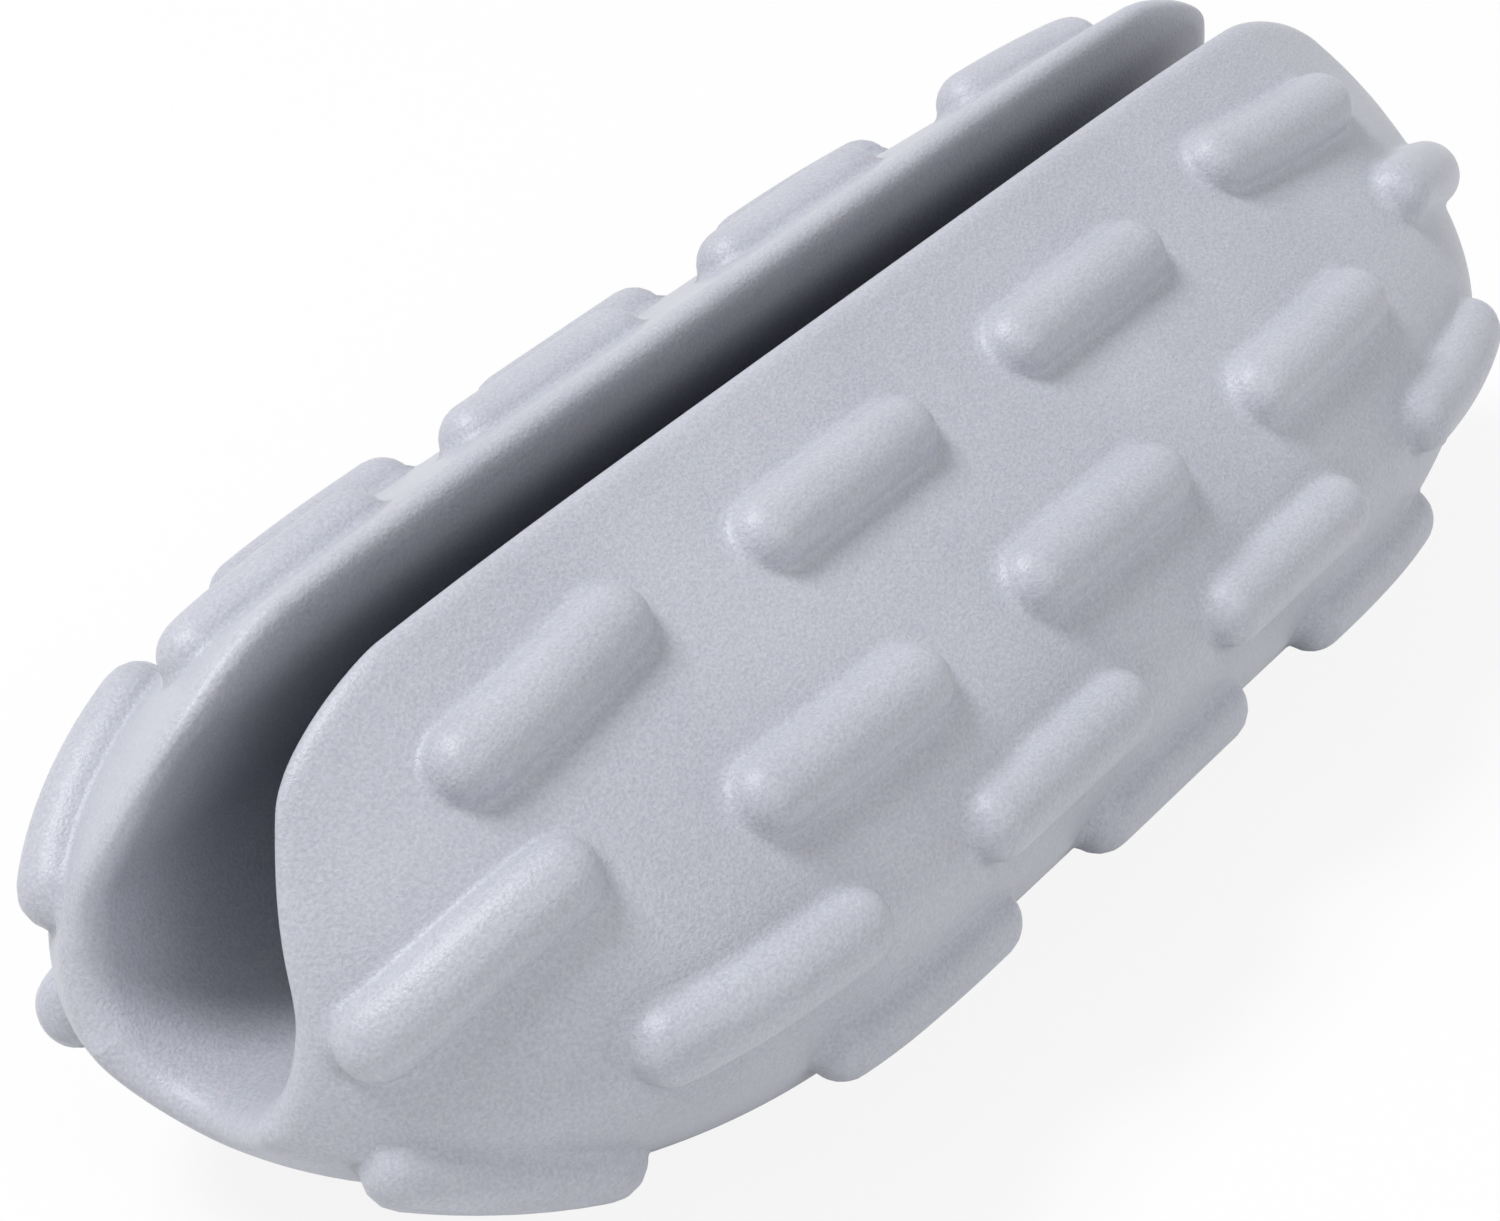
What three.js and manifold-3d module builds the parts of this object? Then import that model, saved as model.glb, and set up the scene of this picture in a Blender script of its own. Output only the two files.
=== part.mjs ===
// A pencil weight: a ribbed silicone sleeve that snaps over a pencil through a slit along its top.
// Inside it an inner core of the same silicone lines the pencil channel and holds three steel rods.
// Sizes are in millimetres. X runs along the pencil and +Z points up out of the slit.
// The origin is under the middle of the part, on the surface that it lies on.

import * as THREE from 'three';
import { mergeVertices } from 'three/addons/utils/BufferGeometryUtils.js';
import Module from 'manifold-3d';

const wasm = await Module();
wasm.setup();

// Sleeve seen from its end: a round belly under the widest line and a straight-sided roof over it
const halfWidth = 12.5;
const bellyDepth = 9.25;
const peakHeight = 13.25; // where the two roof sides would meet, above the widest line
const baseCut = 0.5; // how deep the flat strip that the sleeve lies on cuts into the belly

// Sleeve along its length: where each outline starts to curve in, where it would reach the tip,
// and how full the curve between them is: 2 gives an ellipse, less a flatter one
const noseTip = 29.05;
const sideStart = 9.5;
const sideFullness = 2.2;
const bellyStart = 13;
const bellyFullness = 1.55;
const roofStart = 20.6;
const roofTip = 32.5;
const roofFullness = 1.55;

// Pencil channel, and the slit that opens it to the top
const pencilDiameter = 7.2;
const pencilClearance = 0.05; // on the radius
const channelHeight = 2.5; // channel's axis above the widest line
const slitWidth = 3.0;
const throatLean = 23; // degrees between the channel's upper walls and upright
const edgeSetback = 1.4; // how far the rounding of the rims and lips reaches from their sharp edge

// Raised ribs: one staggered pattern, drawn on each side of the sleeve
const ribPitch = 12.0; // between neighbours in a row
const ribWidth = 2.3;
const ribLength = 8.4; // over both round ends
const ribHeight = 1.05;
const rowHeights = [7.8, 4.4, 0.8, -3.2]; // above the widest line
const endRibRises = [0, -0.7, 0, 0.6]; // last rib of each row against the rest of its row
const endRibPulls = [0, 0, 0, -0.3]; // how far it is pulled in from the pattern's next place
const endRibLeans = [6, 23, 3, -27]; // degrees that its outer end is turned down, or up if negative

// Inner core and the steel rods in it
const sleeveWall = 2.0;
const coreLength = 34.0;
const coreHeight = 3.2; // core's top above the widest line
const moldGap = 0.3; // between pieces that touch
const sideRodDiameter = 4.0;
const sideRodTurn = 50; // degrees round the channel from straight down
const keelRodDiameter = 3.0;
const rodChamfer = 0.5;

// Facets of a quarter of the sleeve, and across the rounding of its rims and lips
const facetCounts = { along: 13, round: 22, bend: 4 };
const shortestEdge = 0.04; // facets with a shorter one are drawn into their neighbours

const channelRadius = pencilDiameter / 2 + pencilClearance;
const slitHalf = slitWidth / 2;
const baseHeight = bellyDepth - baseCut; // widest line above the surface that the part lies on

const silicone = { color: 0xb9bcc8, roughness: 0.55, metalness: 0 };
const steel = { color: 0xb4b7ba, roughness: 0.35, metalness: 1 };

// 1 along the straight stretch of an outline, falling to 0 at its tip
function nose(x, start, tip, fullness) {
  const run = Math.min(Math.max((Math.abs(x) - start) / (tip - start), 0), 1);
  return (1 - run ** fullness) ** (1 / fullness);
}

function widthAt(x) {
  return halfWidth * nose(x, sideStart, noseTip, sideFullness);
}

function roofAt(x) {
  return peakHeight * nose(x, roofStart, roofTip, roofFullness);
}

function bellyAt(x) {
  return bellyDepth * nose(x, bellyStart, noseTip, bellyFullness);
}

// Half width of the sleeve at a station and a height above its widest line
function halfWidthAt(x, height) {
  if (height > 0) return widthAt(x) * (1 - Math.min(height / roofAt(x), 1) ** 2) ** 2;
  return widthAt(x) * Math.sqrt(1 - Math.min(-height / bellyAt(x), 1) ** 2);
}

function isInside(x, across, height) {
  if (height > 0 && height >= roofAt(x)) return false;
  if (height <= 0 && -height >= bellyAt(x)) return false;
  return Math.abs(across) < halfWidthAt(x, height);
}

// Largest value up to a limit for which a test still holds
function lastTrue(limit, test) {
  let low = 0;
  let high = limit;
  for (let step = 0; step < 40; step++) {
    const middle = (low + high) / 2;
    if (test(middle)) low = middle;
    else high = middle;
  }
  return low;
}

// Directions round the channel's axis are angles from straight down, negative on the near side
function around(x, angle, radius) {
  return new THREE.Vector3(x, radius * Math.sin(angle), channelHeight - radius * Math.cos(angle));
}

function directionOf(across, height) {
  return Math.PI - Math.atan2(across, height - channelHeight);
}

function skinAt(x, angle) {
  const radius = lastTrue(3 * halfWidth, (reach) => {
    const point = around(x, angle, reach);
    return isInside(x, point.y, point.z);
  });
  return around(x, angle, radius);
}

// Round floor, then straight throat walls, then the upright walls of the slit
function wallAt(x, angle) {
  const turn = Math.abs(angle);
  const throat = THREE.MathUtils.degToRad(90 + throatLean);
  if (turn <= throat) return around(x, angle, channelRadius);
  const toThroat = channelRadius / Math.cos(turn - throat);
  return around(x, angle, Math.max(toThroat, slitHalf / Math.sin(turn)));
}

// Direction in which the throat's wall meets the slit's
function slitDirection() {
  return lastTrue(Math.PI, (angle) => wallAt(0, angle).y > slitHalf + 1e-6 || angle < Math.PI / 2);
}

// Station at which the channel's wall breaks out of the sleeve, in one direction
function rimStation(angle) {
  return lastTrue(noseTip, (x) => {
    const point = wallAt(x, angle);
    return isInside(x, point.y, point.z);
  });
}

// Height at which the slit's wall breaks out of the roof
function lipHeight(x) {
  return roofAt(x) * Math.sqrt(1 - Math.sqrt(slitHalf / widthAt(x)));
}

// Stations crowd towards the tips, where the sleeve curves most
function crowd(share) {
  return share * (1.35 - 0.35 * share * share);
}

// A quarter of the sharp edge of the channel's mouth: along a lip from its middle, then down a rim
function edgeQuarter(along, round) {
  const slitStart = slitDirection();
  const corner = rimStation(slitStart);
  const places = [];
  for (let i = 0; i <= along; i++) {
    const x = crowd(i / along) * corner;
    places.push({ x, angle: directionOf(slitHalf, lipHeight(x)) });
  }
  for (let j = round - 1; j >= 0; j--) {
    const angle = (j / round) * slitStart;
    places.push({ x: rimStation(angle), angle });
  }
  const points = places.map(({ x, angle }) => wallAt(x, angle));
  const before = points[1].clone().setX(-points[1].x);
  const after = points[points.length - 2].clone().setY(-points[points.length - 2].y);
  const run = [before, ...points, after];
  return places.map((place, k) => {
    const back = run[k + 1].clone().sub(run[k]).normalize();
    const ahead = run[k + 2].clone().sub(run[k + 1]).normalize();
    return { ...place, tangent: back.add(ahead).normalize() };
  });
}

// Moves a place on the edge over a surface, square to the edge and away from the mouth
function setBack({ x, angle, tangent }, surface) {
  const small = 0.01;
  const here = surface(x, angle);
  const inwards = surface(x - small, angle).sub(here).normalize();
  const downwards = surface(x, angle - small).sub(here).normalize();
  const away = inwards.add(downwards);
  away.addScaledVector(tangent, -away.dot(tangent)).setLength(edgeSetback);
  const point = here.add(away);
  return { x: point.x, angle: directionOf(point.y, point.z) };
}

// The sleeve without ribs: one sheet, folded round the channel, with rounded rims and lips.
// The counts are of the facets in a quarter of it, and bend is for those across the rounding.
function sheetGeometry({ along, round, bend }) {
  const edge = edgeQuarter(along, round);
  const points = [];
  const triangles = [];
  const add = (point) => points.push(point) - 1;
  const quad = (a, b, c, d) => triangles.push(a, b, c, a, c, d);

  // Places between the four sides of a mouth follow from those on the sides
  const grid = (surface) => {
    const sides = edge.map((place) => setBack(place, surface));
    const corner = sides[along];
    const rows = [];
    for (let j = -round; j <= round; j++) {
      const rim = sides[along + round - Math.abs(j)];
      const row = [];
      for (let i = -along; i <= along; i++) {
        const lip = sides[Math.abs(i)];
        const x = Math.sign(i) * lip.x + (i / along) * (rim.x - corner.x);
        const angle = Math.sign(j) * rim.angle + (j / round) * (lip.angle - corner.angle);
        row.push(add(surface(x, angle)));
      }
      rows.push(row);
    }
    return rows;
  };
  const outer = grid(skinAt);
  const inner = grid(wallAt);
  const last = { j: 2 * round, i: 2 * along };
  for (let j = 0; j < last.j; j++) {
    for (let i = 0; i < last.i; i++) {
      quad(outer[j][i], outer[j + 1][i], outer[j + 1][i + 1], outer[j][i + 1]);
      quad(inner[j][i], inner[j][i + 1], inner[j + 1][i + 1], inner[j + 1][i]);
    }
  }

  // Once round the mouth: near lip, right rim, far lip, left rim
  const loop = [];
  for (let i = 0; i < last.i; i++) loop.push([0, i, edge[Math.abs(i - along)]]);
  for (let j = 0; j < last.j; j++) loop.push([j, last.i, edge[along + round - Math.abs(j - round)]]);
  for (let i = last.i; i > 0; i--) loop.push([last.j, i, edge[Math.abs(i - along)]]);
  for (let j = last.j; j > 0; j--) loop.push([j, 0, edge[along + round - Math.abs(j - round)]]);
  const corners = loop.map(([j, i, { x, angle }]) => {
    return wallAt(Math.sign(i - along) * x, Math.sign(j - round) * angle);
  });

  let ring = loop.map(([j, i]) => outer[j][i]);
  for (let step = 1; step <= bend; step++) {
    const turn = (step / bend) * (Math.PI / 2);
    const next = loop.map(([j, i], k) => {
      if (step === bend) return inner[j][i];
      const toOuter = points[outer[j][i]].clone().sub(corners[k]);
      const toInner = points[inner[j][i]].clone().sub(corners[k]);
      const point = corners[k].clone();
      point.addScaledVector(toOuter, 1 - Math.sin(turn));
      point.addScaledVector(toInner, 1 - Math.cos(turn));
      return add(point);
    });
    ring.forEach((vertex, k) => {
      const after = (k + 1) % ring.length;
      quad(vertex, ring[after], next[after], next[k]);
    });
    ring = next;
  }
  return geometryFrom(points.flatMap((point) => point.toArray()), triangles);
}

function geometryFrom(coordinates, triangles) {
  const geometry = new THREE.BufferGeometry();
  geometry.setAttribute('position', new THREE.Float32BufferAttribute(coordinates, 3));
  geometry.setIndex(triangles);
  return geometry;
}

// Ribs lie on straight lines of the side view, and follow the sleeve's surface across it
function ribLines() {
  const lines = [];
  rowHeights.forEach((height, row) => {
    const stations = row % 2 === 0 ? [-1.5, -0.5, 0.5, 1.5] : [-2, -1, 0, 1, 2];
    stations.forEach((station) => {
      const last = Math.abs(station) > 1;
      const lean = last ? THREE.MathUtils.degToRad(endRibLeans[row]) : 0;
      lines.push({
        x: station * ribPitch - (last ? Math.sign(station) * endRibPulls[row] : 0),
        height: last ? height + endRibRises[row] : height,
        slope: -Math.sign(station) * Math.tan(lean),
      });
    });
  });
  return lines;
}

function skinPoint(line, run, side) {
  const x = line.x + run;
  const height = line.height + run * line.slope;
  return new THREE.Vector3(x, side * halfWidthAt(x, height), height);
}

// Frames along a rib: a point of the skin, the rib's direction, and the way out of the skin
function ribFrame(line, run, side) {
  const small = 0.01;
  const origin = skinPoint(line, run, side);
  const forward = skinPoint(line, run + small, side).sub(skinPoint(line, run - small, side)).normalize();
  const raised = { ...line, height: line.height + small };
  const upward = skinPoint(raised, run, side).sub(origin);
  const outward = forward.clone().cross(upward).normalize();
  if (outward.y * side < 0) outward.negate();
  return { origin, outward, sideways: forward.clone().cross(outward) };
}

// Distance in the side view that covers a length measured on the skin
function runFor(line, length, side) {
  const pieces = 8;
  const sign = Math.sign(length);
  return sign * lastTrue(Math.abs(length), (run) => {
    let measured = 0;
    for (let k = 0; k < pieces; k++) {
      const from = skinPoint(line, (sign * run * k) / pieces, side);
      measured += from.distanceTo(skinPoint(line, (sign * run * (k + 1)) / pieces, side));
    }
    return measured < Math.abs(length);
  });
}

// A capsule bent along the skin, with its axis sunk so that only the rib's height stands out
function ribGeometry(line, side) {
  const radius = ribWidth / 2;
  const capsule = new THREE.CapsuleGeometry(radius, ribLength - ribWidth, 3, 10, 3);
  const position = capsule.getAttribute('position');
  const sink = ribHeight - radius;
  for (let k = 0; k < position.count; k++) {
    const frame = ribFrame(line, runFor(line, position.getY(k), side), side);
    const point = frame.origin.addScaledVector(frame.outward, position.getZ(k) + sink);
    point.addScaledVector(frame.sideways, position.getX(k));
    position.setXYZ(k, point.x, point.y, point.z);
  }
  return capsule;
}

// Closed solid of a geometry, with its shared corners merged and empty triangles dropped
function solid(geometry) {
  const bare = geometry.index ? geometry.clone() : geometry;
  bare.deleteAttribute('normal');
  bare.deleteAttribute('uv');
  const merged = mergeVertices(bare, 1e-5);
  const corners = Array.from(merged.index.array);
  const triangles = [];
  for (let k = 0; k < corners.length; k += 3) {
    const [a, b, c] = corners.slice(k, k + 3);
    if (a !== b && b !== c && c !== a) triangles.push(a, b, c);
  }
  return new wasm.Manifold(new wasm.Mesh({
    numProp: 3,
    vertProperties: Float32Array.from(merged.getAttribute('position').array),
    triVerts: Uint32Array.from(triangles),
  }));
}

function turnOf(points, triangle) {
  const [a, b, c] = triangle.map((corner) => points[corner]);
  return b.clone().sub(a).cross(c.clone().sub(a));
}

// Draws the ends of edges shorter than a limit together, so that cuts leave no crumbs behind
function withoutShortEdges(points, triangles, shortest) {
  const around = points.map(() => new Set());
  triangles.forEach((triangle) => triangle.forEach((corner) => around[corner].add(triangle)));
  const neighbours = (corner) => new Set([...around[corner]].flat().filter((other) => other !== corner));
  const edges = [];
  triangles.forEach((triangle) => {
    triangle.forEach((from, k) => {
      const to = triangle[(k + 1) % 3];
      const length = points[from].distanceTo(points[to]);
      if (from < to && length < shortest) edges.push({ from, to, length });
    });
  });
  edges.sort((one, other) => one.length - other.length);
  edges.forEach(({ from, to }) => {
    const near = neighbours(from);
    if (!near.has(to)) return;
    if ([...neighbours(to)].filter((corner) => near.has(corner)).length !== 2) return;
    const kept = [...around[from]].filter((triangle) => !triangle.includes(to));
    const folds = kept.some((triangle) => {
      const before = turnOf(points, triangle);
      const after = turnOf(points, triangle.map((corner) => (corner === from ? to : corner)));
      return after.dot(before) < 0.5 * after.length() * before.length();
    });
    if (folds) return;
    [...around[from]].forEach((triangle) => {
      if (kept.includes(triangle)) {
        triangle[triangle.indexOf(from)] = to;
        around[to].add(triangle);
      } else {
        triangle.forEach((corner) => around[corner].delete(triangle));
        triangle.length = 0;
      }
    });
    around[from].clear();
  });
  return triangles.filter((triangle) => triangle.length === 3);
}

function meshOf(name, manifold, finish) {
  const { vertProperties, triVerts } = manifold.getMesh();
  const points = [];
  for (let k = 0; k < vertProperties.length; k += 3) {
    points.push(new THREE.Vector3().fromArray(vertProperties, k));
  }
  let triangles = [];
  for (let k = 0; k < triVerts.length; k += 3) triangles.push(Array.from(triVerts.slice(k, k + 3)));
  triangles = withoutShortEdges(points, triangles, shortestEdge);
  const geometry = geometryFrom(points.flatMap((point) => point.toArray()), triangles.flat());
  geometry.computeVertexNormals();
  const mesh = new THREE.Mesh(geometry, new THREE.MeshStandardMaterial(finish));
  mesh.name = name;
  return mesh;
}

// A straight bar along X, centred on the middle, with an outline in the YZ plane
function barAlongX(outline, length) {
  const shape = new THREE.Shape(outline);
  const bar = new THREE.ExtrudeGeometry(shape, { depth: length, bevelEnabled: false });
  bar.translate(0, 0, -length / 2);
  bar.applyMatrix4(new THREE.Matrix4().set(0, 0, 1, 0, 1, 0, 0, 0, 0, 1, 0, 0, 0, 0, 0, 1));
  return bar;
}

// The core's outside, or the outside of the room for it: the sleeve's own section inside its wall
function coreSide(angle, inset) {
  const station = coreLength / 2 + moldGap;
  const skin = skinAt(station, angle);
  const inwards = around(station, angle, 0).sub(skin).normalize();
  return skin.addScaledVector(inwards, sleeveWall + inset).setX(0);
}

function coreOutline(inset) {
  const count = 28;
  const reach = lastTrue(Math.PI, (angle) => coreSide(angle, inset).z < coreHeight - inset);
  const points = [];
  for (let k = 0; k <= count; k++) {
    const point = coreSide(((2 * k) / count - 1) * reach, inset);
    points.push(new THREE.Vector2(point.y, point.z));
  }
  return points;
}

// Outline of the channel below a height, open upwards as far as the slit's own height
function channelOutline() {
  const points = [];
  const count = 32;
  const reach = lastTrue(Math.PI, (angle) => wallAt(0, angle).z < peakHeight);
  for (let k = 0; k <= count; k++) {
    const point = wallAt(0, ((2 * k) / count - 1) * reach);
    points.push(new THREE.Vector2(point.y, point.z));
  }
  return points;
}

// A rod lies midway between the channel's wall and the core's outside
function rodPlace(turn) {
  const angle = THREE.MathUtils.degToRad(turn);
  return wallAt(0, angle).lerp(coreSide(angle, moldGap), 0.5);
}

const rods = [
  { name: 'weight_rod_left', diameter: sideRodDiameter, place: rodPlace(-sideRodTurn) },
  { name: 'weight_rod_right', diameter: sideRodDiameter, place: rodPlace(sideRodTurn) },
  { name: 'weight_rod_keel', diameter: keelRodDiameter, place: rodPlace(0) },
];

function outerSleeve() {
  let body = solid(sheetGeometry(facetCounts));
  ribLines().forEach((line) => {
    [-1, 1].forEach((side) => {
      body = body.add(solid(ribGeometry(line, side)));
    });
  });
  const base = new THREE.BoxGeometry(2 * noseTip, 2 * halfWidth, bellyDepth);
  base.translate(0, 0, -baseHeight - bellyDepth / 2);
  const room = barAlongX(coreOutline(0), coreLength + 2 * moldGap);
  return body.subtract(solid(base)).subtract(solid(room));
}

function innerCore() {
  const block = solid(barAlongX(coreOutline(moldGap), coreLength));
  let core = block.subtract(solid(barAlongX(channelOutline(), 2 * coreLength)));
  rods.forEach(({ diameter, place }) => {
    const radius = diameter / 2 + moldGap;
    const bore = new THREE.CylinderGeometry(radius, radius, 2 * coreLength, 24);
    bore.rotateZ(Math.PI / 2);
    bore.translate(...place);
    core = core.subtract(solid(bore));
  });
  return core;
}

function weightRod(diameter) {
  const radius = diameter / 2;
  const half = coreLength / 2;
  const profile = [
    new THREE.Vector2(0, -half),
    new THREE.Vector2(radius - rodChamfer, -half),
    new THREE.Vector2(radius, -half + rodChamfer),
    new THREE.Vector2(radius, half - rodChamfer),
    new THREE.Vector2(radius - rodChamfer, half),
    new THREE.Vector2(0, half),
  ];
  const rod = new THREE.LatheGeometry(profile, 24);
  rod.rotateZ(Math.PI / 2);
  return rod;
}

const pencilWeight = new THREE.Group();
pencilWeight.position.z = baseHeight;
pencilWeight.add(meshOf('outer_sleeve', outerSleeve(), silicone));
pencilWeight.add(meshOf('inner_core', innerCore(), silicone));
rods.forEach(({ name, diameter, place }) => {
  const rod = meshOf(name, solid(weightRod(diameter)), steel);
  rod.position.copy(place);
  pencilWeight.add(rod);
});

export default pencilWeight;
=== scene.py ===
import math

import bpy
import numpy as np
from mathutils import Matrix, Vector


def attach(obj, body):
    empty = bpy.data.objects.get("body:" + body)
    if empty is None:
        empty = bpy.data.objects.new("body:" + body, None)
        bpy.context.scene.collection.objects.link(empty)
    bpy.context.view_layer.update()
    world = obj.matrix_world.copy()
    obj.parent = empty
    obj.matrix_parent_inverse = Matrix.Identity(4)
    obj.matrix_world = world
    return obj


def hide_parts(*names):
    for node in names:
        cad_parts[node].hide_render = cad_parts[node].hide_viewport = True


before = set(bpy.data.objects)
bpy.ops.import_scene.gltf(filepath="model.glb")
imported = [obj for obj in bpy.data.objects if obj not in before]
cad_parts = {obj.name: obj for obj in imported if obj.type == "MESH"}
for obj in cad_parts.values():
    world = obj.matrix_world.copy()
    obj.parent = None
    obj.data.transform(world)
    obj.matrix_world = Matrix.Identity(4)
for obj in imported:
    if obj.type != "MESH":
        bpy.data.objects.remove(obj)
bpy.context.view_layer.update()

mm = 0.001

# Camera and stage

camera = {
    "location": (-0.072537, -0.060131, 0.069405),
    "rightwards": (0.611335, -0.78625, -0.08989),
    "upwards": (0.482081, 0.279918, 0.830207),
    "backwards": (-0.627589, -0.550869, 0.55016),
    "lens": 87.2,
    "sensor": 36.0,
}


def placeCamera():
    data = bpy.data.cameras.new("studioCamera")
    data.lens = camera["lens"]
    data.sensor_width = camera["sensor"]
    data.sensor_fit = "HORIZONTAL"
    data.clip_start = 0.005
    data.clip_end = 20
    made = bpy.data.objects.new("studioCamera", data)
    bpy.context.scene.collection.objects.link(made)
    turn = Matrix((camera["rightwards"], camera["upwards"], camera["backwards"])).transposed()
    made.matrix_world = Matrix.Translation(camera["location"]) @ turn.to_4x4()
    bpy.context.scene.camera = made


placeCamera()
print("camera placed")

# Shader maths: a socket that can be added, multiplied and compared like a number


class Wire:
    def __init__(self, tree, socket):
        self.tree = tree
        self.socket = socket

    def math(self, operation, first, second=0.0):
        return self.tree.node("ShaderNodeMath", {"operation": operation}, {0: first, 1: second})

    def __add__(self, other):
        return self.math("ADD", self, other)

    def __radd__(self, other):
        return self.math("ADD", other, self)

    def __sub__(self, other):
        return self.math("SUBTRACT", self, other)

    def __rsub__(self, other):
        return self.math("SUBTRACT", other, self)

    def __mul__(self, other):
        return self.math("MULTIPLY", self, other)

    def __rmul__(self, other):
        return self.math("MULTIPLY", other, self)

    def __truediv__(self, other):
        return self.math("DIVIDE", self, other)


class Tree:
    def __init__(self, owner):
        owner.use_nodes = True
        self.nodes = owner.node_tree.nodes
        self.links = owner.node_tree.links

    def node(self, kind, settings=None, inputs=None, output=0):
        made = self.nodes.new(kind)
        for key, value in (settings or {}).items():
            setattr(made, key, value)
        for key, value in (inputs or {}).items():
            self.feed(made.inputs[key], value)
        return Wire(self, made.outputs[output])

    def feed(self, socket, value):
        if isinstance(value, Wire):
            self.links.new(value.socket, socket)
        else:
            socket.default_value = value

    def blend(self, share, first, second):
        made = self.nodes.new("ShaderNodeMix")
        made.data_type = "RGBA"
        self.feed(made.inputs[0], share)
        self.feed(made.inputs[6], first)
        self.feed(made.inputs[7], second)
        return Wire(self, made.outputs[2])


class Finish(Tree):
    def __init__(self, name):
        self.material = bpy.data.materials.new(name)
        super().__init__(self.material)
        self.shader = self.nodes["Principled BSDF"]
        self.output = self.nodes["Material Output"]

    def objectPlace(self):
        return self.node("ShaderNodeTexCoord", output="Object")

    def noise(self, place, scale, detail=2.0, rough=0.5):
        return self.node("ShaderNodeTexNoise", {}, {
            "Vector": place, "Scale": scale, "Detail": detail, "Roughness": rough})

    def fade(self, value, low, high, toLow=0.0, toHigh=1.0):
        return self.node("ShaderNodeMapRange", {"clamp": True}, {
            "Value": value, "From Min": low, "From Max": high, "To Min": toLow, "To Max": toHigh})

    def shade(self, values):
        for key, value in values.items():
            self.feed(self.shader.inputs[key], value)

    def bump(self, height, strength, distance):
        relief = self.node("ShaderNodeBump", {}, {
            "Height": height, "Strength": strength, "Distance": distance})
        self.links.new(relief.socket, self.shader.inputs["Normal"])


# A colour given in screen values of 0 to 255
def linear(red, green, blue):
    def one(value):
        share = value / 255
        return share / 12.92 if share <= 0.04045 else ((share + 0.055) / 1.055) ** 2.4
    return (one(red), one(green), one(blue), 1.0)


# A Noise node gives mostly values between these two
noiseRange = (0.3, 0.7)

silicone = {
    "paler": linear(202, 204, 214),
    "deeper": linear(175, 177, 189),
    # painted shade: the dark colour that closed-in places such as the channel are mixed towards
    "paintedShade": linear(64, 70, 86),
    "shadeReach": 24 * mm,
    "closedAt": 0.05,
    "openAt": 0.33,
    "shadedRoughness": 0.45,
    "cloudSize": 6 * mm,
    "grainSize": 0.11 * mm,
    "grainDepth": 0.03 * mm,
    "pebbleSize": 0.5 * mm,
    "pebbleDepth": 0.01 * mm,
    "grainShare": 0.7,
    "smoothest": 0.33,
    "roughest": 0.44,
}


# Painted shade: where an ambient occlusion node finds the surface closed in, as in the channel, the
# base colour is darkened towards a painted shade colour and the gloss is duller
def siliconeFinish(name):
    finish = Finish(name)
    place = finish.objectPlace()
    cloud = finish.noise(place, 1 / silicone["cloudSize"], 3.0)
    grain = finish.noise(place, 1 / silicone["grainSize"], 2.0, 0.6)
    pebble = finish.noise(place, 1 / silicone["pebbleSize"], 2.0)
    grainTone = finish.fade(grain, *noiseRange) * silicone["grainShare"]
    tone = finish.fade(cloud, *noiseRange) * (1 - silicone["grainShare"]) + grainTone
    openness = finish.node("ShaderNodeAmbientOcclusion", {"samples": 4},
                           {"Distance": silicone["shadeReach"]}, "AO")
    colour = finish.blend(tone, silicone["deeper"], silicone["paler"])
    # painted shade: this share is 0 where the surface is closed in, and there the base colour becomes
    # the painted shade colour
    lit = finish.fade(openness, silicone["closedAt"], silicone["openAt"])
    roughness = finish.fade(grain, *noiseRange, silicone["smoothest"], silicone["roughest"])
    finish.shade({
        "Base Color": finish.blend(lit, silicone["paintedShade"], colour),
        "Roughness": roughness + (1.0 - lit) * silicone["shadedRoughness"],
        "Specular IOR Level": 0.42,
        "Subsurface Weight": 0.06,
        "Subsurface Scale": 0.6 * mm,
        "Sheen Weight": 0.05,
        "Sheen Roughness": 0.5,
    })
    relief = grain * silicone["grainDepth"] + pebble * silicone["pebbleDepth"]
    finish.bump(relief / mm, 1.0, mm)
    return finish.material


steel = {
    "bright": linear(196, 198, 201),
    "dull": linear(168, 170, 174),
    "ringSize": 0.12 * mm,
    "stainSize": 3 * mm,
    "smoothest": 0.26,
    "roughest": 0.42,
}


def steelFinish(name):
    finish = Finish(name)
    place = finish.objectPlace()
    # the node itself multiplies by 20, and one turned ring is 2 pi ring sizes
    rings = finish.node("ShaderNodeTexWave", {"bands_direction": "X"}, {
        "Vector": place, "Scale": 1 / (20 * steel["ringSize"]),
        "Distortion": 0.6, "Detail": 1.0}, "Fac")
    stain = finish.noise(place, 1 / steel["stainSize"], 4.0)
    finish.shade({
        "Base Color": finish.blend(finish.fade(stain, 0.35, 0.7), steel["dull"], steel["bright"]),
        "Metallic": 1.0,
        "Roughness": finish.fade(stain, *noiseRange, steel["smoothest"], steel["roughest"]),
    })
    finish.bump(rings, 0.3, 0.01 * mm)
    return finish.material


# Sleeve: one moulding whose skin, ribs, lips and channel follow one set of outlines.
# X runs along the pencil, heights are above the widest line, and all lengths are in millimetres.

sleeve = {
    "halfWidth": 12.5,
    "bellyDepth": 9.25,
    "peakHeight": 13.25,
    "baseCut": 0.5,
    "noseTip": 29.05,
    "sideStart": 9.5,
    "sideFullness": 2.2,
    "bellyStart": 13.0,
    "bellyFullness": 1.55,
    "roofStart": 20.6,
    "roofTip": 32.5,
    "roofFullness": 1.55,
    "channelRadius": 3.65,
    "channelHeight": 2.5,
    "slitWidth": 3.0,
    "throatLean": 23.0,
    "slitEase": 0.9,
    "edgeSetback": 1.4,
    "wall": 2.0,
    "stations": 125,
    "rows": 150,
    "bareShare": 0.27,
    "bareDensity": 0.35,
    "roundingSteps": 8,
    "liningStep": 5,
    "smoothAngle": 70,
}

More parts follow.
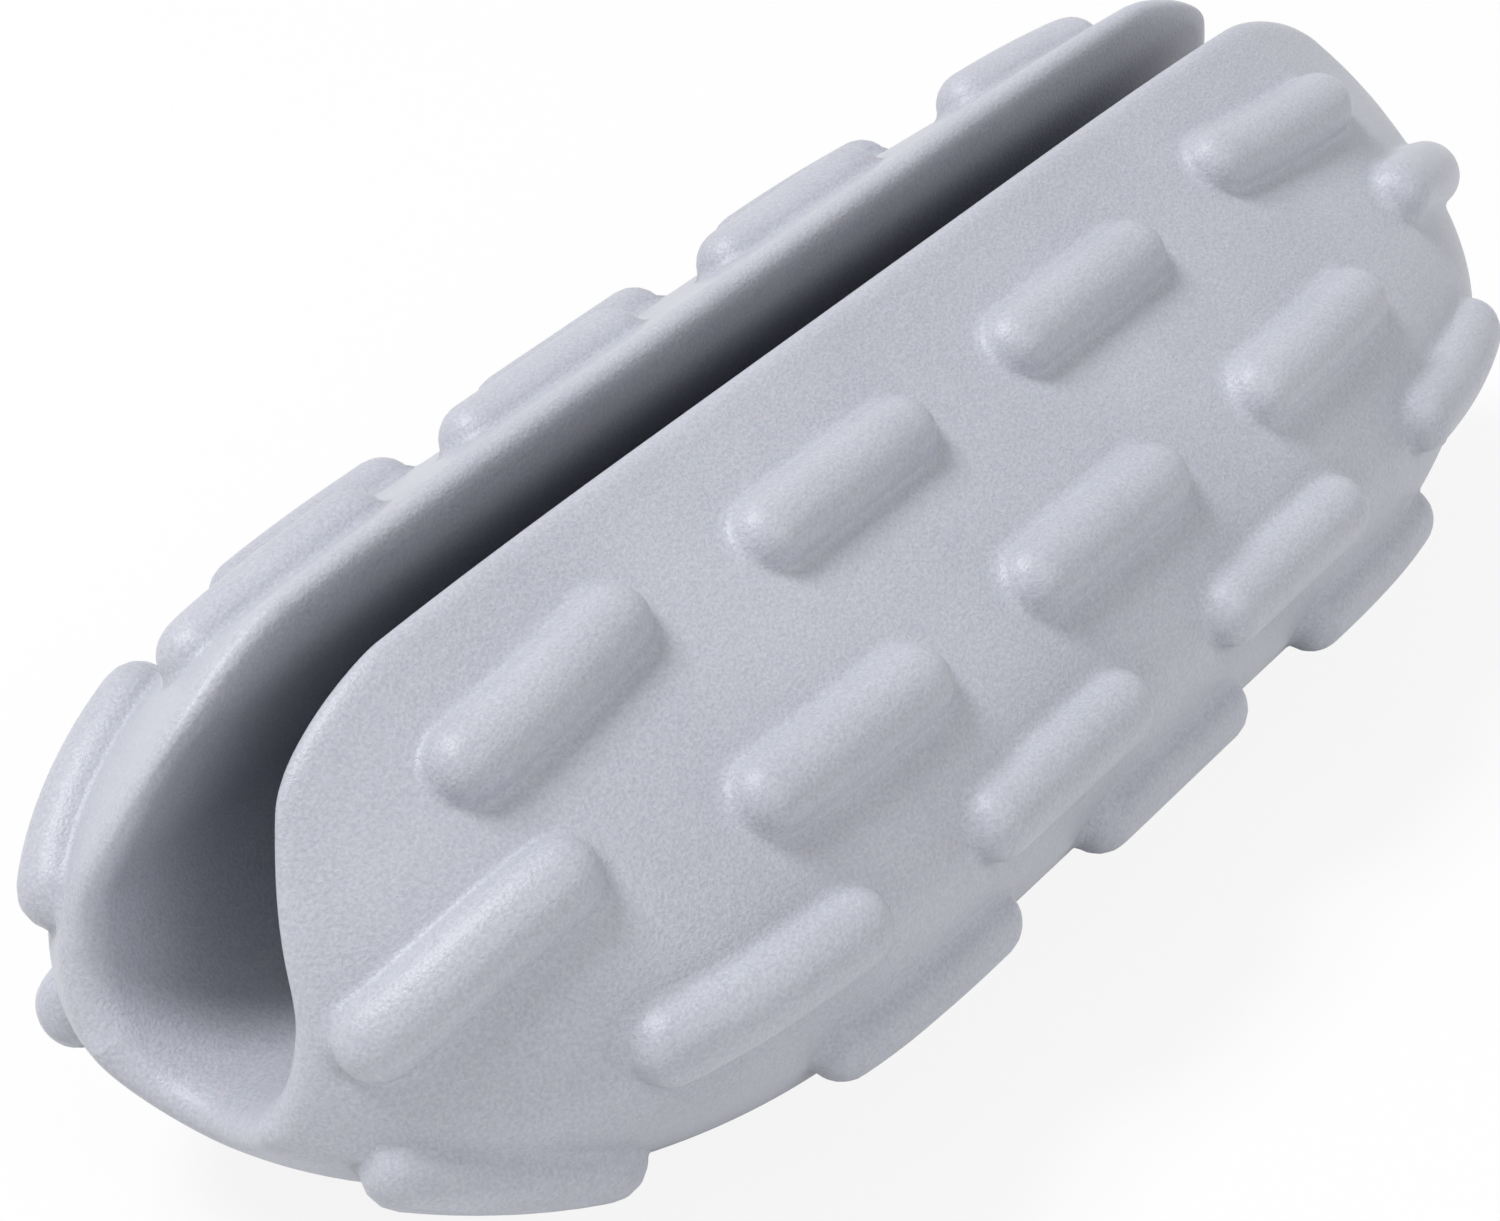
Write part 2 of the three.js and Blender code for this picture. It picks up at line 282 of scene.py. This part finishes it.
# The end ribs of a row are lifted, pulled in, leaned and bowed to follow the ends
ribs = {
    "pitch": 12.0,
    "stations": ((-1.5, -0.5, 0.5, 1.5), (-2, -1, 0, 1, 2)),
    "width": 2.3,
    "length": 8.4,
    "height": 1.05,
    "rowHeights": (7.8, 4.4, 0.8, -3.2),
    "endRises": (0, -0.7, 0, 0.6),
    "endPulls": (0, 0, 0, -0.3),
    "endLeans": (6, 23, 3, -27),
    "endBows": (0, 0.4, 0, 0),
    "rootFillet": 0.16,
    "drawnFrom": 1.65,
}

core = {
    "length": 34.0,
    "top": 3.2,
    "gap": 0.3,
    "smoothAngle": 40,
}

roomHalf = core["length"] / 2 + core["gap"]
widestHeight = sleeve["bellyDepth"] - sleeve["baseCut"]
slitHalf = sleeve["slitWidth"] / 2


def nose(x, part, tip):
    start, fullness = sleeve[part + "Start"], sleeve[part + "Fullness"]
    run = np.clip((np.abs(x) - start) / (tip - start), 0, 1)
    return (1 - run ** fullness) ** (1 / fullness)


def widthAt(x):
    return np.maximum(sleeve["halfWidth"] * nose(x, "side", sleeve["noseTip"]), 1e-9)


def roofAt(x):
    return np.maximum(sleeve["peakHeight"] * nose(x, "roof", sleeve["roofTip"]), 1e-9)


def bellyAt(x):
    return np.maximum(sleeve["bellyDepth"] * nose(x, "belly", sleeve["noseTip"]), 1e-9)


def halfWidthAt(x, height):
    roof = (1 - np.clip(height / roofAt(x), 0, 1) ** 2) ** 2
    belly = np.sqrt(1 - np.clip(-height / bellyAt(x), 0, 1) ** 2)
    return widthAt(x) * np.where(height > 0, roof, belly)


def isInside(point):
    x, across, height = point[..., 0], point[..., 1], point[..., 2]
    return (height < roofAt(x)) & (-height < bellyAt(x)) & (np.abs(across) < halfWidthAt(x, height))


# The largest value up to a limit for which the test holds, found by halving
def lastTrue(limit, test):
    low = np.zeros_like(limit)
    high = limit.copy()
    for _ in range(34):
        middle = (low + high) / 2
        holds = test(middle)
        low = np.where(holds, middle, low)
        high = np.where(holds, high, middle)
    return low


# Directions round the channel's axis are angles from straight down, negative on the near side
def around(x, angle, radius):
    x, angle, radius = np.broadcast_arrays(x, angle, radius)
    return np.stack([x, radius * np.sin(angle), sleeve["channelHeight"] - radius * np.cos(angle)], -1)


def directionOf(across, height):
    return math.pi - np.arctan2(across, height - sleeve["channelHeight"])


def skinAt(x, angle):
    x, angle = np.broadcast_arrays(x, angle)
    limit = np.full(x.shape, 3 * sleeve["halfWidth"])
    return around(x, angle, lastTrue(limit, lambda radius: isInside(around(x, angle, radius))))


def toThroat(turn):
    throat = math.radians(90 + sleeve["throatLean"])
    return sleeve["channelRadius"] / np.cos(np.clip(turn - throat, 0, 1.5))


def toSlit(turn):
    return slitHalf / np.maximum(np.sin(turn), 1e-6)


# Round floor, then straight throat walls that ease into the upright walls of the slit
def wallAt(x, angle):
    turn = np.abs(angle)
    throatReach, slitReach, ease = toThroat(turn), toSlit(turn), sleeve["slitEase"]
    overlap = np.maximum(ease - np.abs(throatReach - slitReach), 0)
    above = np.maximum(throatReach, slitReach) + overlap ** 2 / (4 * ease)
    return around(x, angle, np.where(turn < math.pi / 2, sleeve["channelRadius"], above))


def slitDirection():
    fine = np.linspace(math.pi / 2, math.pi - 0.01, 20000)
    return fine[np.argmax(toSlit(fine) >= toThroat(fine))]


def rimStation(angle):
    return lastTrue(np.full(np.shape(angle), sleeve["noseTip"]), lambda x: isInside(wallAt(x, angle)))


def lipDirection(x):
    return lastTrue(np.full(np.shape(x), math.pi), lambda angle: isInside(wallAt(x, angle)))


def unit(vectors):
    return vectors / np.linalg.norm(vectors, axis=-1, keepdims=True)


# Rows lie close together where the ribs are and wider apart on the bare belly
def rimShares():
    fine = np.linspace(0, 1, 1001)
    density = np.where(fine < sleeve["bareShare"], sleeve["bareDensity"], 1.0)
    total = np.concatenate([[0], np.cumsum((density[1:] + density[:-1]) / 2)])
    return np.interp(np.linspace(0, total[-1], sleeve["rows"] + 1), total, fine)


# A quarter of the sharp edge of the channel's mouth: along a lip from its middle, then down a rim
def edgeQuarter():
    slitStart = slitDirection()
    share = np.linspace(0, 1, sleeve["stations"] + 1)
    lipX = share * (1.1 - 0.1 * share ** 2) * rimStation(slitStart)
    rimAngle = rimShares()[-2::-1] * slitStart
    x = np.concatenate([lipX, rimStation(rimAngle)])
    angle = np.concatenate([lipDirection(lipX), rimAngle])
    run = wallAt(x, angle)
    run = np.concatenate([run[1:2] * [-1, 1, 1], run, run[-2:-1] * [1, -1, 1]])
    steps = unit(np.diff(run, axis=0))
    return x, angle, unit(steps[1:] + steps[:-1])


# Moves the edge's places over a surface, square to the edge and away from the mouth
def setBack(edge, surface):
    x, angle, tangent = edge
    small = 0.01
    here = surface(x, angle)
    away = unit(surface(x - small, angle) - here) + unit(surface(x, angle - small) - here)
    away -= np.sum(away * tangent, axis=-1, keepdims=True) * tangent
    point = here + sleeve["edgeSetback"] * unit(away)
    return point[:, 0], directionOf(point[:, 1], point[:, 2])


# Leaves the middle as it is, and stretches what lies outside it so that its corner reaches the end
def stretch(base, still, corner, end):
    return np.where(base <= still, base, still + (base - still) * (end - still) / (corner - still))


# Places on a surface between the four sides of a mouth, one row for each direction
def spread(sides, still):
    stations = sleeve["stations"]
    x, angle = sides
    lipX, rimX = x[:stations + 1], x[stations:][::-1]
    lipAngle, rimAngle = angle[:stations + 1], angle[stations:][::-1]
    i = np.arange(-stations, stations + 1)
    j = np.arange(-sleeve["rows"], sleeve["rows"] + 1)[:, None]
    columns = stretch(lipX[abs(i)], still[0], lipX[-1], rimX[abs(j)])
    rows = stretch(rimAngle[abs(j)], still[1], rimAngle[-1], lipAngle[abs(i)])
    return np.sign(i) * columns, np.sign(j) * rows


def outward(grid):
    alongWay = np.gradient(grid, axis=1)
    roundWay = np.gradient(grid, axis=0)
    normal = unit(np.cross(roundWay, alongWay))
    middle = grid * [1, 0, 0] + [0, 0, sleeve["channelHeight"]]
    facing = np.sign(np.sum(normal * (grid - middle), axis=-1, keepdims=True))
    return normal * facing


# A rib's section: for even steps along it, the distance from the centre line and the height.
# It is a half-round whose foot eases into the skin.
def ribProfile():
    radius = ribs["width"] / 2
    fillet = ribs["rootFillet"]
    away = np.concatenate([radius * np.sin(np.linspace(0, math.pi / 2, 300)), [ribs["drawnFrom"]]])
    away = np.unique(np.concatenate([away, np.linspace(radius - 0.02, ribs["drawnFrom"], 200)]))

    def isOutside(height):
        toRib = np.hypot(away, height - (ribs["height"] - radius)) - radius
        overlap = np.maximum(fillet - np.abs(height - toRib), 0)
        return np.minimum(height, toRib) - overlap ** 2 / (4 * fillet) < 0
    height = lastTrue(np.full(away.shape, 2 * ribs["height"]), isOutside)
    length = np.concatenate([[0], np.cumsum(np.hypot(np.diff(away), np.diff(height)))])
    even = np.linspace(0, length[-1], 200)
    return np.interp(even, length, away), np.interp(even, length, height)


# The centre lines of the ribs on the skin, each between the middles of its two round ends
def ribLines():
    lines = []
    run = np.linspace(-ribs["pitch"] / 2, ribs["pitch"] / 2, 241)
    half = (ribs["length"] - ribs["width"]) / 2
    for row, height in enumerate(ribs["rowHeights"]):
        for station in ribs["stations"][row % 2]:
            x = station * ribs["pitch"] + run
            level = height + 0 * run
            if abs(station) > 1:
                end = math.copysign(1, station)
                x = x - end * ribs["endPulls"][row]
                level = level + ribs["endRises"][row] + ribs["endBows"][row] * (1 - (run / half) ** 2)
                level = level - end * run * math.tan(math.radians(ribs["endLeans"][row]))
            for side in (-1, 1):
                path = np.stack([x, side * halfWidthAt(x, level), level], -1)
                steps = np.linalg.norm(np.diff(path, axis=0), axis=1)
                length = np.concatenate([[0], np.cumsum(steps)])
                length -= length[len(run) // 2]
                places = np.linspace(-half, half, 15)
                lines.append(np.stack([np.interp(places, length, path[:, k]) for k in range(3)], -1))
    return lines


def nearestOn(line, points):
    best = np.full(len(points), 1e9)
    nearest = np.zeros_like(points)
    for start, end in zip(line[:-1], line[1:]):
        way = end - start
        share = np.clip((points - start) @ way / (way @ way), 0, 1)
        foot = start + share[:, None] * way
        away = np.linalg.norm(points - foot, axis=1)
        nearest[away < best] = foot[away < best]
        best = np.minimum(best, away)
    return best, nearest


# Points near a rib move sideways as well, so that they lie evenly over its steep sides
def raiseRibs(grid):
    profileAway, profileHeight = ribProfile()
    reach = ribs["drawnFrom"]
    even = np.linspace(0, reach, len(profileAway))
    normal = outward(grid).reshape(-1, 3)
    points = grid.reshape(-1, 3)
    raised = points.copy()
    for line in ribLines():
        low, high = line.min(0) - 2, line.max(0) + 2
        near = np.flatnonzero(np.all((points > low) & (points < high), axis=1))
        away, foot = nearestOn(line, points[near])
        drawn = away < reach
        near, away, foot = near[drawn], away[drawn][:, None], foot[drawn]
        drawnAway = np.interp(away, even, profileAway)
        height = np.interp(away, even, profileHeight)
        sideways = (points[near] - foot) * (drawnAway / np.maximum(away, 1e-9))
        raised[near] = foot + sideways + height * normal[near]
    return raised.reshape(grid.shape)


# Gathers points and faces, in millimetres, and makes them an object in metres
class Sheet:
    def __init__(self):
        self.points = []
        self.count = 0
        self.faces = []

    def add(self, points):
        flat = np.asarray(points, float).reshape(-1, 3)
        self.points.append(flat)
        first = self.count
        self.count += len(flat)
        return (first + np.arange(len(flat))).reshape(np.asarray(points).shape[:-1])

    def quads(self, a, b, c, d):
        self.faces.extend(np.stack([a, b, c, d], -1).reshape(-1, 4).tolist())

    def grid(self, table, flip=False):
        corners = [table[:-1, :-1], table[1:, :-1], table[1:, 1:], table[:-1, 1:]]
        self.quads(*(corners[::-1] if flip else corners))

    def build(self, name):
        mesh = bpy.data.meshes.new(name)
        points = np.concatenate(self.points) + [0, 0, widestHeight]
        mesh.from_pydata((points * mm).tolist(), [], self.faces)
        mesh.validate()
        made = bpy.data.objects.new(name, mesh)
        bpy.context.scene.collection.objects.link(made)
        return made


# Half the room for the core, and the direction in which its top meets the channel's wall
def coreRoom():
    rise = core["top"] - sleeve["channelHeight"]
    return roomHalf, math.pi / 2 + math.asin(rise / sleeve["channelRadius"])


# The core's outside, or the outside of the room for it: the sleeve's own section inside its wall
def coreSide(angle, inset):
    skin = skinAt(roomHalf, angle)
    return skin - (sleeve["wall"] + inset) * unit(skin - around(roomHalf, angle, 0))


def coreOutline(inset, count):
    top = core["top"] - inset
    reach = lastTrue(np.full(1, math.pi), lambda angle: coreSide(angle, inset)[..., 2] < top)[0]
    return coreSide(np.linspace(-reach, reach, count), inset) * [0, 1, 1]


# One face of the lining: where its edge lies on the mouth's, it takes all the points there
def liningFace(table, low, high, left, right):
    ring = [*table[low, left:right], *table[low:high, right], *table[high, right:left:-1],
            *table[high:low:-1, left]]
    return [int(k) for k in ring if k >= 0]


def picks(first, last):
    return np.unique(np.append(np.arange(first, last, sleeve["liningStep"]), last))


# Once round a mouth: near lip, right rim, far lip, left rim
def loopOf(near, right, far, left):
    return np.concatenate([near[:-1], right[:-1], far[:0:-1], left[:0:-1]])


def sidesOf(table):
    return table[0], table[:, -1], table[-1], table[:, 0]


# The channel's wall, with a window in its middle where the core's own lining lies instead
def lineChannel(sheet, edge):
    half, windowAngle = coreRoom()
    stations, rows = sleeve["stations"], sleeve["rows"]
    x, angle = setBack(edge, wallAt)
    windowStation = int(np.argmin(np.abs(x[:stations + 1] - half)))
    x[windowStation] = half
    windowRow = stations + int(np.argmin(np.abs(angle[stations:] - windowAngle)))
    angle[windowRow] = windowAngle
    windowRow = rows + stations - windowRow
    lining = wallAt(*spread((x, angle), (half, windowAngle)))

    across = np.append(picks(0, windowRow), picks(windowRow, rows - 1)[1:])
    across = np.append(across, rows)
    along = np.append(picks(windowStation, stations - 1), stations)
    across = rows + np.concatenate([-across[:0:-1], across])
    along = stations + np.concatenate([-along[::-1], along])
    used = np.zeros(lining.shape[:2], bool)
    used[np.ix_(across, along)] = True
    used[[0, -1]] = True
    used[:, [0, -1]] = True
    table = np.full(used.shape, -1)
    table[used] = sheet.add(lining[used])

    for low, high in zip(across[:-1], across[1:]):
        for left, right in zip(along[:-1], along[1:]):
            isInRows = abs(low + 0.5 - rows) < windowRow
            if not (isInRows and abs(left + 0.5 - stations) < windowStation):
                sheet.faces.append(liningFace(table, low, high, left, right))

    # room for the core behind the window
    inWindow = across[np.abs(across - rows) <= windowRow]
    window = table[np.ix_(inWindow, [stations - windowStation, stations + windowStation])]
    outline = coreOutline(0, len(window))
    walls = [sheet.add(outline + [side * half, 0, 0]) for side in (-1, 1)]
    sheet.quads(walls[0][:-1], walls[0][1:], walls[1][1:], walls[1][:-1])
    for column, wall in enumerate(walls):
        sheet.quads(window[:-1, column], window[1:, column], wall[1:], wall[:-1])
    for k in (0, -1):
        sheet.quads(window[k, 0], window[k, 1], walls[1][k], walls[0][k])
    windowAngles = np.interp(inWindow - rows, np.arange(-rows, rows + 1),
                             np.concatenate([-angle[stations:-1], angle[stations:][::-1]]))
    return table, windowAngles


# Bends a strip from the skin to the channel's wall, once round the rims and lips
def roundEdge(sheet, edge, outer, inner):
    stations = sleeve["stations"]
    x, angle, _ = edge
    i = np.arange(-stations, stations + 1)
    j = np.arange(-sleeve["rows"], sleeve["rows"] + 1)
    lip = wallAt(np.sign(i) * x[abs(i)], angle[abs(i)])
    rim = wallAt(x[stations:][::-1][abs(j)], np.sign(j) * angle[stations:][::-1][abs(j)])
    corners = loopOf(lip * [1, -1, 1], rim, lip, rim * [-1, 1, 1])
    ring, innerLoop = loopOf(*sidesOf(outer)), loopOf(*sidesOf(inner))
    points = np.concatenate(sheet.points)
    toOuter = points[ring] - corners
    toInner = points[innerLoop] - corners
    for step in range(1, sleeve["roundingSteps"] + 1):
        turn = step / sleeve["roundingSteps"] * math.pi / 2
        bend = corners + toOuter * (1 - math.sin(turn)) + toInner * (1 - math.cos(turn))
        following = innerLoop if step == sleeve["roundingSteps"] else sheet.add(bend)
        sheet.quads(ring, np.roll(ring, -1), np.roll(following, -1), following)
        ring = following


def buildSleeve():
    sheet = Sheet()
    edge = edgeQuarter()
    skin = raiseRibs(skinAt(*spread(setBack(edge, skinAt), coreRoom())))
    skin[..., 2] = np.maximum(skin[..., 2], -widestHeight)
    outer = sheet.add(skin)
    sheet.grid(outer)
    inner, windowAngles = lineChannel(sheet, edge)
    roundEdge(sheet, edge, outer, inner)
    return sheet.build("siliconeSleeve"), windowAngles


# Turns the faces outwards, and smooths all edges flatter than an angle in degrees
def finishMesh(made, angle):
    bpy.ops.object.select_all(action="DESELECT")
    made.select_set(True)
    bpy.context.view_layer.objects.active = made
    bpy.ops.object.mode_set(mode="EDIT")
    bpy.ops.mesh.select_all(action="SELECT")
    bpy.ops.mesh.normals_make_consistent(inside=False)
    bpy.ops.object.mode_set(mode="OBJECT")
    bpy.ops.object.shade_smooth_by_angle(angle=math.radians(angle))


sleevePiece, windowAngles = buildSleeve()
finishMesh(sleevePiece, sleeve["smoothAngle"])
sleevePiece.data.materials.append(siliconeFinish("satinSilicone"))
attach(sleevePiece, "root")
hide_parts("outer_sleeve")
print("sleeve built", len(sleevePiece.data.polygons), "faces")

# Core: lines the channel's middle, flush with the sleeve's lining, and holds the rods

rods = {
    "sideRadius": 2.0,
    "sideTurn": 50.0,
    "keelRadius": 1.5,
}


def buildCore(angles):
    sheet = Sheet()
    lining = wallAt(0, angles)
    outline = coreOutline(core["gap"], len(angles))
    inner = [sheet.add(lining + [side * roomHalf, 0, 0]) for side in (-1, 1)]
    outer = [sheet.add(outline + [side * (roomHalf - core["gap"]), 0, 0]) for side in (-1, 1)]
    sheet.quads(inner[0][:-1], inner[0][1:], inner[1][1:], inner[1][:-1])
    sheet.quads(outer[0][:-1], outer[0][1:], outer[1][1:], outer[1][:-1])
    for a, b in zip(inner, outer):
        sheet.quads(a[:-1], a[1:], b[1:], b[:-1])
    for k in (0, -1):
        sheet.quads(inner[0][k], inner[1][k], outer[1][k], outer[0][k])
    return sheet.build("siliconeCore")


# A rod lies midway between the channel's wall and the core's outside
def boreCore(made, radius, turn):
    angle = np.array([math.radians(turn)])
    place = (wallAt(0, angle) + coreSide(angle, core["gap"]) * [0, 1, 1])[0] / 2
    bpy.ops.object.select_all(action="DESELECT")
    bpy.ops.mesh.primitive_cylinder_add(
        vertices=48, radius=(radius + core["gap"]) * mm, depth=2 * core["length"] * mm,
        location=Vector(place + [0, 0, widestHeight]) * mm, rotation=(0, math.pi / 2, 0))
    cutter = bpy.context.object
    bpy.ops.object.select_all(action="DESELECT")
    bpy.context.view_layer.objects.active = made
    made.select_set(True)
    cut = made.modifiers.new("bore", "BOOLEAN")
    cut.operation = "DIFFERENCE"
    cut.object = cutter
    bpy.ops.object.modifier_apply(modifier="bore")
    bpy.data.objects.remove(cutter)


corePiece = buildCore(windowAngles)
finishMesh(corePiece, core["smoothAngle"])
for turn in (-rods["sideTurn"], rods["sideTurn"]):
    boreCore(corePiece, rods["sideRadius"], turn)
boreCore(corePiece, rods["keelRadius"], 0)
finishMesh(corePiece, core["smoothAngle"])
corePiece.data.materials.append(siliconeFinish("satinSiliconeCore"))
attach(corePiece, "root")
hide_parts("inner_core")
print("core built", len(corePiece.data.polygons), "faces")

# Rods keep their solids and get their finish

rodFinish = steelFinish("turnedSteel")
for name in ("weight_rod_left", "weight_rod_right", "weight_rod_keel"):
    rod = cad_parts[name]
    rod.data.materials.clear()
    rod.data.materials.append(rodFinish)
print("rods finished")

# Floor and light

studio = {
    "floorSize": 3.0,
    "floorGlow": 0.88,
    "worldStrength": 0.36,
    "keyPlace": (-0.12, 0.14, 0.4),
    "keySize": 0.16,
    "keyPower": 1.35,
    "frontPlace": (-0.06, -0.36, 0.26),
    "frontSize": 0.2,
    "frontPower": 0.36,
    "aim": (0, 0, 0.009),
}


# 1 for the rays that show the background: straight ones, reflections and those through glass
def seenDirectly(tree):
    path = tree.nodes.new("ShaderNodeLightPath")
    straight, glossy, through = [
        Wire(tree, path.outputs[kind])
        for kind in ("Is Camera Ray", "Is Glossy Ray", "Is Transmission Ray")]
    return straight.math("MAXIMUM", straight, glossy.math("MAXIMUM", glossy, through))


def floorFinish():
    finish = Finish("paleFloor")
    finish.shade({"Base Color": (0.9, 0.9, 0.9, 1), "Roughness": 0.9, "Specular IOR Level": 0.1})
    glow = finish.node("ShaderNodeEmission", {}, {"Color": (1, 1, 1, 1), "Strength": 1.0})
    mix = finish.node("ShaderNodeMixShader", {}, {
        0: seenDirectly(finish) * studio["floorGlow"],
        1: Wire(finish, finish.shader.outputs[0]), 2: glow})
    finish.links.new(mix.socket, finish.output.inputs["Surface"])
    return finish.material


def layFloor():
    bpy.ops.object.select_all(action="DESELECT")
    bpy.ops.mesh.primitive_plane_add(size=studio["floorSize"])
    floor = bpy.context.object
    floor.name = "paleFloor"
    floor.data.materials.append(floorFinish())


def addLamp(name, place, size, power):
    data = bpy.data.lights.new(name, "AREA")
    data.shape = "DISK"
    data.size = size
    data.energy = power
    lamp = bpy.data.objects.new(name, data)
    bpy.context.scene.collection.objects.link(lamp)
    lamp.location = place
    aim = Vector(studio["aim"]) - lamp.location
    lamp.rotation_euler = aim.to_track_quat("-Z", "Y").to_euler()


def lightWorld():
    world = bpy.data.worlds.new("studioWorld")
    bpy.context.scene.world = world
    tree = Tree(world)
    background = tree.nodes["Background"]
    background.inputs["Strength"].default_value = studio["worldStrength"]
    background.inputs["Color"].default_value = (1, 1, 1, 1)
    seen = tree.node("ShaderNodeBackground", {}, {"Color": (1, 1, 1, 1), "Strength": 1.0})
    mix = tree.node("ShaderNodeMixShader", {}, {
        0: seenDirectly(tree), 1: Wire(tree, background.outputs[0]), 2: seen})
    tree.links.new(mix.socket, tree.nodes["World Output"].inputs["Surface"])


layFloor()
lightWorld()
addLamp("keyLamp", studio["keyPlace"], studio["keySize"], studio["keyPower"])
addLamp("frontLamp", studio["frontPlace"], studio["frontSize"], studio["frontPower"])
bpy.context.scene.view_settings.view_transform = "Standard"
print("stage lit")
